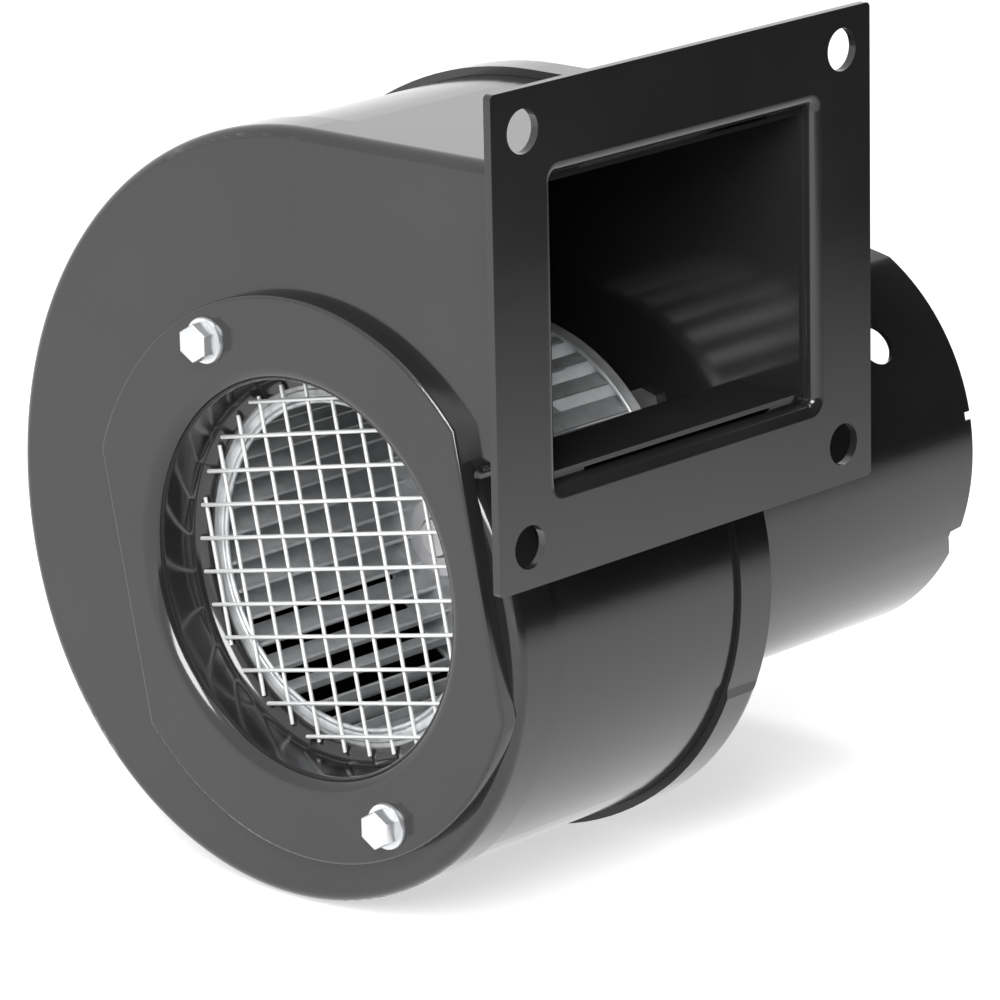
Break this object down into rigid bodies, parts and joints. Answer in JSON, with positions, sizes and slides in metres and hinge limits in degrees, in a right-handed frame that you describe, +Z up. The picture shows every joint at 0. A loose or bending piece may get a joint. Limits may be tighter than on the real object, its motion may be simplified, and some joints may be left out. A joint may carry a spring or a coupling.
{
  "type": "centrifugal blower",
  "caption": "Small centrifugal blower: black pressed-steel scroll with a square outlet flange, a mesh-guarded bell inlet and a shaft-mounted motor in a round vented shell.",
  "frame": {"origin": "centre of the outlet flange's rectangle of four bolt holes, on the flange's front face", "axes": "+X out of the outlet, +Y along the shaft from the inlet to the motor, +Z up"},
  "size_m": [0.1385, 0.1574, 0.1645],
  "materials": {
    "black_paint": "gloss black enamel on pressed steel",
    "zinc_wire": "galvanised welded wire",
    "zinc_screw": "bright zinc plated",
    "wheel_steel": "galvanised sheet",
    "turned_steel": "turned and ground steel",
    "bearing_bronze": "sintered bronze, oil filled",
    "oiled_felt": "felt soaked in oil",
    "core_steel": "stacked laminations",
    "coil_copper": "enamelled copper wire",
    "cast_aluminium": "die cast",
    "black_rubber": "matt",
    "fan_plastic": "moulded"
  },
  "bodies": {
    "housing": {"scroll_front_plate": "black_paint", "scroll_wrap": "black_paint", "scroll_rear_plate": "black_paint", "outlet_flange": "black_paint", "inlet_plate": "black_paint", "mesh_guard": "zinc_wire", "inlet_screws": "zinc_screw", "clip_nuts": "zinc_screw", "motor_shell": "black_paint", "front_bearing_bracket": "black_paint", "rear_bearing_bracket": "black_paint", "front_bearing": "bearing_bronze", "rear_bearing": "bearing_bronze", "front_oil_wick": "oiled_felt", "rear_oil_wick": "oiled_felt", "front_bearing_retainer": "zinc_screw", "rear_bearing_retainer": "zinc_screw", "motor_screws": "zinc_screw", "motor_nuts": "zinc_screw", "through_bolts": "zinc_screw", "through_bolt_nuts": "zinc_screw", "stator_core": "core_steel", "field_coils": "coil_copper", "lead_grommet": "black_rubber"},
    "rotor": {"wheel_front_ring": "wheel_steel", "wheel_blades": "wheel_steel", "wheel_back_plate": "wheel_steel", "wheel_hub": "turned_steel", "wheel_set_screw": "turned_steel", "motor_shaft": "turned_steel", "thrust_washers": "turned_steel", "rotor_core": "core_steel", "rotor_end_rings": "cast_aluminium", "cooling_fan": "fan_plastic"}
  },
  "joints": [
    {"name": "rotor_spin", "type": "hinge", "parent": "housing", "child": "rotor", "pos_m": [-0.0619, 0, -0.056], "axis": [0, 1, 0], "continuous": true}
  ]
}
